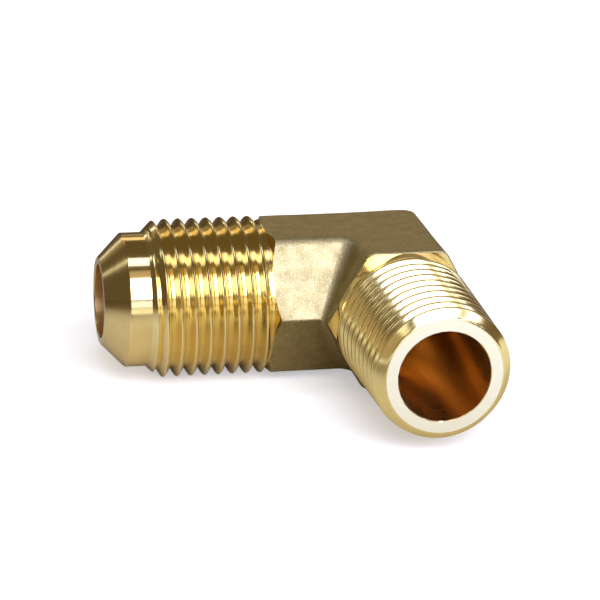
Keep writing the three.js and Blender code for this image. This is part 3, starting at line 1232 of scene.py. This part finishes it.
@dataclass(frozen=True)
class PipeLeg:
    """The pipe leg: neck, tapered thread and chamfered mouth, in millimetres."""

    shared: Frame
    section: BlockSection
    neck: Zone
    thread: Zone
    mouth: Zone
    narrowing: float
    bore: float = 4.45
    face_radius: float = 5.7
    face_edge: float = 0.1
    bore_lip: float = 0.07
    bore_raggedness: float = 0.018
    ragged_waves: tuple[int, int] = (9, 41)
    ragged_seed: int = 5
    neck_rings: int = 9
    chamfer_length: float = 0.6
    taper: float = 1 / 32
    fade_out: float = 0.7
    runout_length: float = 4.0
    runout_rise: float = 0.35
    envelope_blend: float = 0.04
    form: ThreadForm = ThreadForm(0.92, 0.32, 0.04, 0.14, -23.72)

    def _crest(self, station: Array) -> Array:
        """Crest radius, which grows by 1 in 16 on the diameter."""
        return self.mouth.radius + (station - self.thread.mouth) * self.taper

    def _neck(self) -> bpy.types.Mesh:
        """Makes the neck: a cylinder where the block's section allows it, and the section elsewhere.

        Returns:
            The neck's mesh.
        """
        lathe = Lathe(self.shared, Leg.PIPE)
        stations = np.linspace(self.neck.mouth, self.neck.body, self.neck_rings)
        outer = np.stack([stations, self._crest(np.full(self.neck_rings, self.neck.mouth))], axis=1)
        loop = np.concatenate([outer, [[self.neck.body, self.bore], [self.neck.mouth, self.bore]]])
        angle = np.arange(lathe.columns) * FULL_TURN / lathe.columns
        room = self.section.reach(self.narrowing, math.pi / 2 - angle) - self.neck.radius
        share = eased((stations - self.neck.mouth) / (self.neck.body - self.neck.mouth))[:, None]
        wobble = np.zeros((len(loop), lathe.columns))
        wobble[: len(outer)] = np.minimum(room, 0)[None, :] * share
        made = np.full(len(loop), Surface.TURNED.value)
        made[-2] = Surface.BORED.value
        return lathe.ring(loop, made, wobble).mesh("neck_turned")

    def _threaded(self, station: Array, angle: Array) -> Array:
        """Radius of the threaded surface.

        The thread form runs under the end's chamfer from the mouth on, and runs out towards the neck.
        The edge of the end face is rounded by a quarter circle.

        Args:
            station: Stations of the points.
            angle: Angles of the points.

        Returns:
            The radius at each point.
        """
        left = eased((self.thread.body - station) / self.fade_out)
        rise = np.clip((station - self.thread.body + self.runout_length) / self.runout_length, 0, 1)
        depth = self.form.depth - self.runout_rise * rise
        cut = self._crest(station) - self.form.drop(station, angle, depth) * left
        from_end = station - self.mouth.mouth
        slope = (self.mouth.radius - self.face_radius) / self.chamfer_length
        radius = soft_min(cut, self.face_radius + slope * from_end, self.envelope_blend)
        edge = 1 - np.clip(from_end / self.face_edge, 0, 1)
        return radius - self.face_edge * (1 - np.sqrt(1 - edge**2))

    def _thread(self) -> bpy.types.Mesh:
        """Makes the tapered thread.

        Returns:
            The thread's mesh.
        """
        shank = Shank(self.shared, Leg.PIPE, self.thread, self.bore)
        station, angle = shank.grid()
        return shank.skin(station, angle, self._threaded(station, angle)).mesh("pipe_thread_turned")

    def _mouth(self) -> bpy.types.Mesh:
        """Makes the chamfered mouth, whose inner edge was left a little ragged by the drill.

        Returns:
            The mouth's mesh.
        """
        shank = Shank(self.shared, Leg.PIPE, self.mouth, self.bore, rows_per_pitch=56)
        station, angle = shank.grid()
        draw = np.random.default_rng(self.ragged_seed)
        waves = np.arange(*self.ragged_waves)
        phases = draw.uniform(0, FULL_TURN, len(waves))[:, None]
        ragged = np.sin(waves[:, None] * angle[0] + phases).sum(axis=0) / math.sqrt(len(waves))
        radius = self._threaded(station, angle)
        return shank.skin(
            station, angle, radius, self.bore_lip, ragged * self.bore_raggedness
        ).mesh("pipe_mouth_turned")

    def build(self, workshop: Workshop) -> None:
        """Builds the three pieces of the leg.

        Args:
            workshop: Finishes the pieces.
        """
        workshop.finish(self._neck(), "pipe_neck", Slot.PALE)
        workshop.finish(self._thread(), "pipe_thread", Slot.PALE)
        workshop.finish(self._mouth(), "pipe_mouth", Slot.PALE)


@dataclass(frozen=True)
class Softbox:
    """A soft light. Bearing 0 is straight in front (-Y) and 90 to the right (+X), in degrees.

    The distance, width and height are in metres, and the radiance is what a mirror would show of it.
    """

    name: str
    bearing: float
    elevation: float
    distance: float
    width: float
    height: float
    radiance: float
    tint: Colour

    def build(self, centre: Vector) -> None:
        """Hangs the light, facing the centre.

        Args:
            centre: Middle of the object.
        """
        light = bpy.data.lights.new(self.name, "AREA")
        light.shape = "RECTANGLE"
        light.size, light.size_y = self.width, self.height
        light.energy = self.radiance * math.pi * self.width * self.height
        light.color = self.tint
        bearing, elevation = math.radians(self.bearing), math.radians(self.elevation)
        outwards = Vector((math.sin(bearing) * math.cos(elevation),
                           -math.cos(bearing) * math.cos(elevation), math.sin(elevation)))
        lamp = bpy.data.objects.new(self.name, light)
        lamp.rotation_euler = outwards.to_track_quat("Z", "Y").to_euler()
        lamp.location = centre + outwards * self.distance
        lamp.visible_camera = False
        bpy.context.scene.collection.objects.link(lamp)


@dataclass(frozen=True)
class Viewpoint:
    """The camera: it stands off the crossing of the bores and is slid sideways without turning.

    Angles are in degrees, lengths in millimetres. Azimuth 0 looks along +Y.
    """

    azimuth: float = -12.8186
    elevation: float = 19.8544
    roll: float = 1.9445
    distance: float = 238.971
    slid_right: float = -8.2923
    slid_up: float = -1.1642
    lens: float = 140.25
    sensor: float = 36.0

    def build(self, shared: Frame) -> None:
        """Makes the scene's camera.

        Args:
            shared: Height of the bores.
        """
        azimuth, elevation, roll = (math.radians(a) for a in (self.azimuth, self.elevation, self.roll))
        back = Vector((math.sin(azimuth) * math.cos(elevation),
                       -math.cos(azimuth) * math.cos(elevation), math.sin(elevation)))
        level = Vector((math.cos(azimuth), math.sin(azimuth), 0))
        upright = back.cross(level)
        right = math.cos(roll) * level + math.sin(roll) * upright
        up = math.cos(roll) * upright - math.sin(roll) * level
        place = back * self.distance + right * self.slid_right + up * self.slid_up
        place.z += shared.axis_height
        data = bpy.data.cameras.new("camera")
        data.lens, data.sensor_width = self.lens, self.sensor
        data.clip_start, data.clip_end = 0.01, 20.0
        camera = bpy.data.objects.new("camera", data)
        camera.matrix_world = Matrix.Translation(place * MM) @ Matrix((right, up, back)).transposed().to_4x4()
        bpy.context.scene.collection.objects.link(camera)
        bpy.context.scene.camera = camera


class Studio:
    """Plain pale floor, soft lights, a pale surround and the camera.

    Places and lengths are in metres. The floor's tones in the object's reflections carry painted shade: they
    go by the distance from the origin, by the place along one way, and by the distance from a painted dark
    patch that lies to the left of the object.
    """

    FLOOR_SIZE = 6.0
    FLOOR_SEEN = (0.95, 0.90, 0.72)
    FLOOR_GLOW = 0.45
    # Floor tones that only the object's reflections see: painted shade, darker near the object's foot and
    # towards the left.
    FLOOR_NEAR_SHADE = (0.60, 0.51, 0.33)
    FLOOR_FAR = (1.0, 0.98, 0.76)
    FLOOR_REACH = (0.018, 0.045)
    FLOOR_SHADE_WAY = (1.0, -0.8, 0.0)
    FLOOR_SHADE = (-0.020, -0.085)
    FLOOR_SHADED = (0.16, 0.11, 0.05)
    # Painted shade: a dark patch in the floor's reflected colour to the left front, which the pipe's threads
    # reflect.
    SHADE_PATCH_PLACE = (-0.045, -0.065, 0.0)
    SHADE_PATCH_REACH = (0.050, 0.020)
    SHADE_PATCH_TONE = (0.34, 0.29, 0.19)
    # The flag blocks real light, and glows with a painted shade tone that the pipe's far side reflects.
    FLAG_PLACE = (0.0208, -0.0275, 0.0168)
    FLAG_TARGET = (0.005, -0.018, 0.010)
    FLAG_SIZE = 0.0145
    FLAG_GLOW_SHADE = (0.19, 0.145, 0.095)
    SURROUND_SEEN = (1.0, 1.0, 1.0)
    SURROUND_FELT = (0.125, 0.097, 0.058)
    COOL = (0.96, 1.0, 1.10)
    SKY = (0.85, 0.95, 1.5)
    WARM = (1.0, 0.86, 0.68)
    LIGHTS = (
        Softbox("front_softbox", 8, 36.5, 0.55, 0.43, 0.347, 6.0, SKY),
        Softbox("front_crown", 3, 61, 0.60, 0.56, 0.15, 0.42, WARM),
        Softbox("front_apron", 3, 10.2, 0.60, 0.56, 0.118, 1.45, SKY),
        Softbox("front_skirt", 3, 1.6, 0.62, 0.56, 0.035, 1.3, COOL),
        Softbox("right_wing", 38, 36, 0.60, 0.16, 0.28, 0.5, WARM),
        Softbox("right_panel", 61, 28, 0.60, 0.36, 0.233, 2.8, SKY),
        Softbox("left_panel", -33, 31, 0.60, 0.105, 0.14, 1.25, COOL),
        Softbox("left_apron", -50, 10, 0.62, 0.34, 0.42, 0.36, WARM),
        Softbox("overhead_strip", 0, 86, 0.55, 0.85, 0.15, 2.1, SKY),
        Softbox("rear_strip", 180, 33.5, 0.60, 0.8, 0.115, 1.1, WARM),
        Softbox("left_slit", -114, 24.5, 0.60, 0.045, 0.11, 1.3, COOL),
        Softbox("far_left_slit", -154, 13, 0.60, 0.045, 0.11, 1.3, COOL),
        Softbox("rear_panel", 180, 17, 0.62, 1.0, 0.14, 0.2, WARM),
    )

    @staticmethod
    def _square(name: str, half: float, height: float, material: bpy.types.Material) -> bpy.types.Object:
        """Makes a flat square that belongs to the studio and not to the object.

        Args:
            name: Name of the square.
            half: Half its side, in metres.
            height: Height of its plane over its own origin.
            material: What it is covered with.

        Returns:
            The square, at the origin.
        """
        corners = np.array([(-half, -half, height), (half, -half, height), (half, half, height),
                            (-half, half, height)])
        mesh = bpy.data.meshes.new(name)
        mesh.from_pydata(corners, [], [(0, 1, 2, 3)])
        mesh.materials.append(material)
        square = bpy.data.objects.new(name, mesh)
        bpy.context.scene.collection.objects.link(square)
        return square

    @staticmethod
    def _matt(name: str) -> tuple[bpy.types.Material, Graph, bpy.types.Node]:
        """Starts a material without gloss.

        Args:
            name: Name of the material.

        Returns:
            The material, its graph and its shader.
        """
        material = bpy.data.materials.new(name)
        material.use_nodes = True
        shader = material.node_tree.nodes["Principled BSDF"]
        shader.inputs["Roughness"].default_value = 0.9
        shader.inputs["Specular IOR Level"].default_value = 0.0
        return material, Graph(material.node_tree), shader

    def _floor(self) -> None:
        """Lays the floor at the object's lowest point.

        The camera sees it pale. In the object's reflections its colour is darker: painted shade, darkest near
        the object's foot as on a light table that it shades itself, darker towards the left, and darker still
        in a painted dark patch to the left front.
        """
        material, graph, shader = self._matt("floor_paper")
        path = graph.add("ShaderNodeLightPath")
        place = graph.add("ShaderNodeTexCoord").outputs["Object"]
        length = graph.add("ShaderNodeVectorMath", {0: place}, operation="LENGTH")
        side = graph.add("ShaderNodeVectorMath", {
            0: place, 1: self.FLOOR_SHADE_WAY}, operation="DOT_PRODUCT")
        # Painted shade: a dark patch on the floor to the left front, seen only in reflections.
        off_shade_patch = graph.add("ShaderNodeVectorMath", {0: place, 1: self.SHADE_PATCH_PLACE}, operation="DISTANCE")
        # Painted shade in the floor's reflected colour: darker near the object's foot and towards the left.
        away = graph.ramp(length.outputs["Value"], *self.FLOOR_REACH, (0, 1))
        shade = graph.ramp(side.outputs["Value"], *self.FLOOR_SHADE, (0, 1))
        shade_patch = graph.ramp(off_shade_patch.outputs["Value"], *self.SHADE_PATCH_REACH, (0, 1))
        lit = graph.mixed(away, self.FLOOR_NEAR_SHADE, self.FLOOR_FAR)
        felt = graph.mixed(shade_patch, graph.mixed(shade, lit, self.FLOOR_SHADED), self.SHADE_PATCH_TONE)
        tone = graph.mixed(path.outputs["Is Camera Ray"], felt, self.FLOOR_SEEN)
        graph.feed(tone, shader.inputs["Base Color"])
        graph.feed(graph.math("MULTIPLY", path.outputs["Is Camera Ray"], self.FLOOR_GLOW),
                   shader.inputs["Emission Strength"])
        shader.inputs["Emission Color"].default_value = (1, 1, 1, 1)
        self._square("floor", self.FLOOR_SIZE / 2, CAD_BOX[0].z, material)

    def _flag(self) -> None:
        """Hangs a small sheet by the pipe leg, which keeps the right-hand light off its far side.

        The sheet is black and is no lamp, but it glows with a dim tone: painted shade that the metal reflects
        on the pipe's far side. The camera does not see it.
        """
        material, _, shader = self._matt("flag_painted_shade")
        shader.inputs["Base Color"].default_value = (0, 0, 0, 1)
        # Painted shade: the sheet is no lamp, but glows with a dim tone that the metal reflects.
        shader.inputs["Emission Color"].default_value = (*self.FLAG_GLOW_SHADE, 1)
        shader.inputs["Emission Strength"].default_value = 1.0
        flag = self._square("flag", self.FLAG_SIZE / 2, 0, material)
        flag.location = self.FLAG_PLACE
        towards = Vector(self.FLAG_TARGET) - Vector(self.FLAG_PLACE)
        flag.rotation_euler = towards.to_track_quat("Z", "Y").to_euler()
        flag.visible_camera = False

    def _surround(self) -> None:
        """World that the camera sees pale and the object feels dim and warm, as in a dark room."""
        world = bpy.data.worlds.new("surround")
        world.use_nodes = True
        graph = Graph(world.node_tree)
        path = graph.add("ShaderNodeLightPath")
        background = world.node_tree.nodes["Background"]
        tone = graph.mixed(path.outputs["Is Camera Ray"], self.SURROUND_FELT, self.SURROUND_SEEN)
        world.node_tree.links.new(tone, background.inputs["Color"])
        background.inputs["Strength"].default_value = 1.0
        bpy.context.scene.world = world

    def build(self, shared: Frame) -> None:
        """Sets up the studio.

        Args:
            shared: Height of the bores.
        """
        self._floor()
        self._flag()
        self._surround()
        for light in self.LIGHTS:
            light.build(Vector((0, 0, shared.axis_height * MM)))
        Viewpoint().build(shared)
        bpy.context.scene.view_settings.view_transform = "Standard"


def main() -> None:
    """Builds the elbow leg by leg, then the studio."""
    logging.basicConfig(level=logging.INFO, format="%(name)s: %(message)s")
    shared = Frame.measured()
    section = BlockSection(shared)
    workshop = Workshop(shared)
    flare = FlareLeg(
        shared,
        section,
        seat=Zone.measured("flare_seat", Leg.FLARE),
        nose=Zone.measured("flare_nose", Leg.FLARE),
        thread=Zone.measured("flare_thread", Leg.FLARE),
    )
    pipe = PipeLeg(
        shared,
        section,
        neck=Zone.measured("pipe_neck", Leg.PIPE),
        thread=Zone.measured("pipe_thread", Leg.PIPE),
        mouth=Zone.measured("pipe_mouth", Leg.PIPE),
        narrowing=ForgedBlock.narrowing,
    )
    ForgedBlock(shared, section, flare.bore, pipe.bore, flare.shoulder_radius).build(workshop)
    flare.build(workshop)
    pipe.build(workshop)
    Studio().build(shared)


if __name__ == "__main__":
    main()
